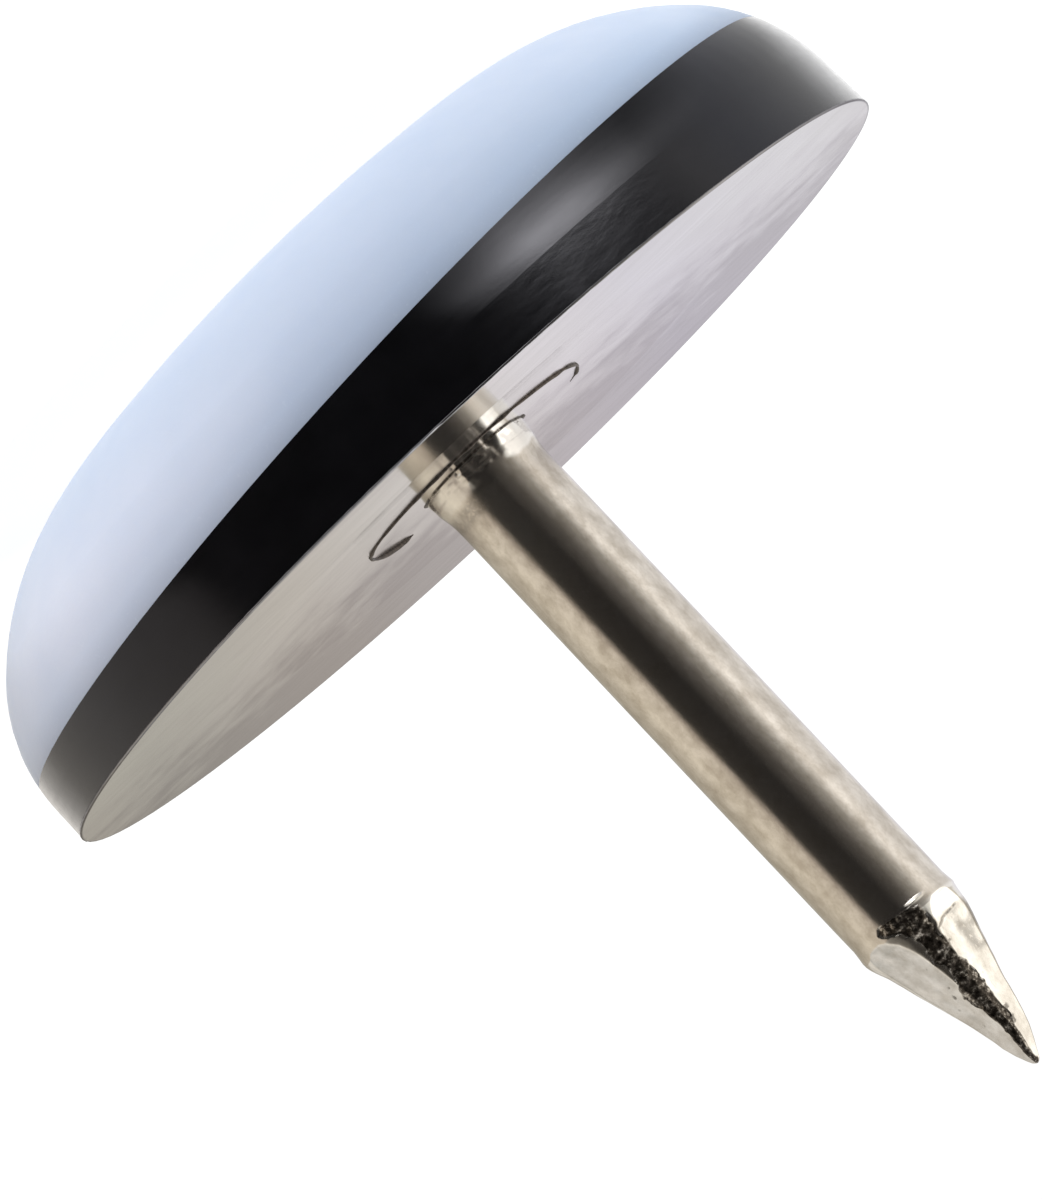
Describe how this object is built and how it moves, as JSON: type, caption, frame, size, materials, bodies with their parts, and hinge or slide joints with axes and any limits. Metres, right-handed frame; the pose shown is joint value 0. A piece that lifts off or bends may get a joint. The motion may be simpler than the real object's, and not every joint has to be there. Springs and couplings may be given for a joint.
{
  "type": "furniture glide",
  "caption": "Nail-on furniture glide: a domed low-friction slide pad on a black rubber cushion, with a round steel plate and a pointed steel nail that is driven up into the furniture leg.",
  "frame": {"origin": "on the nail's axis, level with the flat ring of the plate's face that seats on the furniture leg", "axes": "+Z along the nail to its point, +X to the end where the cushion is thinnest"},
  "size_m": [0.025, 0.025, 0.0258],
  "materials": {
    "slide_pad": "waxy satin, pale blue-grey",
    "cushion": "smooth satin black",
    "base_plate": "bright rolled steel, faintly mottled",
    "nail": "bright nickel plating, rough and pitted at the point"
  },
  "bodies": {
    "root": {"slide_pad": "slide_pad", "cushion": "cushion", "base_plate": "base_plate", "nail": "nail"}
  },
  "joints": []
}
